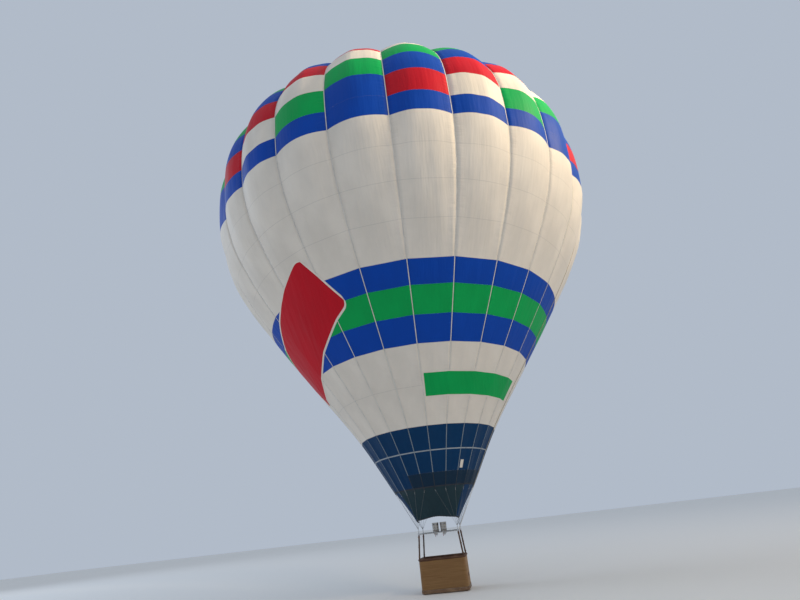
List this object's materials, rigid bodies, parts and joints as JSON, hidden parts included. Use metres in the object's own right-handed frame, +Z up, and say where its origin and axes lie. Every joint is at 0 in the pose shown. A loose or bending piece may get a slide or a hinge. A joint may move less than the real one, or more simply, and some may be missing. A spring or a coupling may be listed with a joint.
{
  "type": "hot air balloon",
  "caption": "Hot air balloon: bulged gore envelope with load tapes and a parachute vent, scoop, cables, gimballed twin burner and a wicker basket with fuel cylinders.",
  "frame": {"origin": "centre of the basket's underside, on the line of lift, where the balloon is held up by the air", "axes": "+Z up through the crown, +X along the basket's long side, -Y towards the scoop, the front"},
  "size_m": [18.7706, 18.7706, 24.1569],
  "materials": {
    "envelope_fabric": "coated nylon, satin",
    "load_tape": "woven webbing",
    "scoop_fabric": "matt flame-resistant cloth",
    "cable": "stranded wire",
    "steel": "brushed",
    "aluminium": "satin",
    "stainless_steel": "brushed, heat tinted",
    "plywood": "varnished",
    "hardwood": "worn",
    "wicker": "woven cane",
    "leather": "stitched leather",
    "hide": "rough hide",
    "cylinder_jacket": "padded jacket"
  },
  "bodies": {
    "balloon": {"gore_01": "envelope_fabric", "gore_02": "envelope_fabric", "gore_03": "envelope_fabric", "gore_04": "envelope_fabric", "gore_05": "envelope_fabric", "gore_06": "envelope_fabric", "gore_07": "envelope_fabric", "gore_08": "envelope_fabric", "gore_09": "envelope_fabric", "gore_10": "envelope_fabric", "gore_11": "envelope_fabric", "gore_12": "envelope_fabric", "gore_13": "envelope_fabric", "gore_14": "envelope_fabric", "gore_15": "envelope_fabric", "gore_16": "envelope_fabric", "gore_17": "envelope_fabric", "gore_18": "envelope_fabric", "gore_19": "envelope_fabric", "gore_20": "envelope_fabric", "gore_21": "envelope_fabric", "gore_22": "envelope_fabric", "gore_23": "envelope_fabric", "gore_24": "envelope_fabric", "load_tapes": "load_tape", "crown_ring": "aluminium", "scoop_left": "scoop_fabric", "scoop_front": "scoop_fabric", "scoop_right": "scoop_fabric", "burner_frame": "aluminium", "basket_floor": "plywood", "basket_skids": "hardwood", "basket_wall_front": "wicker", "basket_wall_back": "wicker", "basket_wall_left": "wicker", "basket_wall_right": "wicker", "basket_rim": "leather", "basket_trim": "hide", "cables_front_right": "cable", "karabiner_front_right": "steel", "upright_front_right": "leather", "fuel_cylinder_front_right": "cylinder_jacket", "cables_back_right": "cable", "karabiner_back_right": "steel", "upright_back_right": "leather", "fuel_cylinder_back_right": "cylinder_jacket", "cables_back_left": "cable", "karabiner_back_left": "steel", "upright_back_left": "leather", "fuel_cylinder_back_left": "cylinder_jacket", "cables_front_left": "cable", "karabiner_front_left": "steel", "upright_front_left": "leather", "fuel_cylinder_front_left": "cylinder_jacket"},
    "vent": {"parachute_vent": "envelope_fabric"},
    "gimbal": {"gimbal_frame": "aluminium"},
    "burners": {"burner_yoke": "aluminium", "burner_left": "stainless_steel", "burner_right": "stainless_steel"}
  },
  "joints": [
    {"name": "vent_open", "type": "slide", "parent": "balloon", "child": "vent", "axis": [0, 0, -1], "range_m": [0, 1.2], "stiffness_N_per_m": 150, "springref_m": -0.8},
    {"name": "gimbal_tilt", "type": "hinge", "parent": "balloon", "child": "gimbal", "pos_m": [0, 0, 2.03], "axis": [1, 0, 0], "range_deg": [-15, 15]},
    {"name": "burner_tilt", "type": "hinge", "parent": "gimbal", "child": "burners", "pos_m": [0, 0, 2.03], "axis": [0, 1, 0], "range_deg": [-15, 15]}
  ]
}
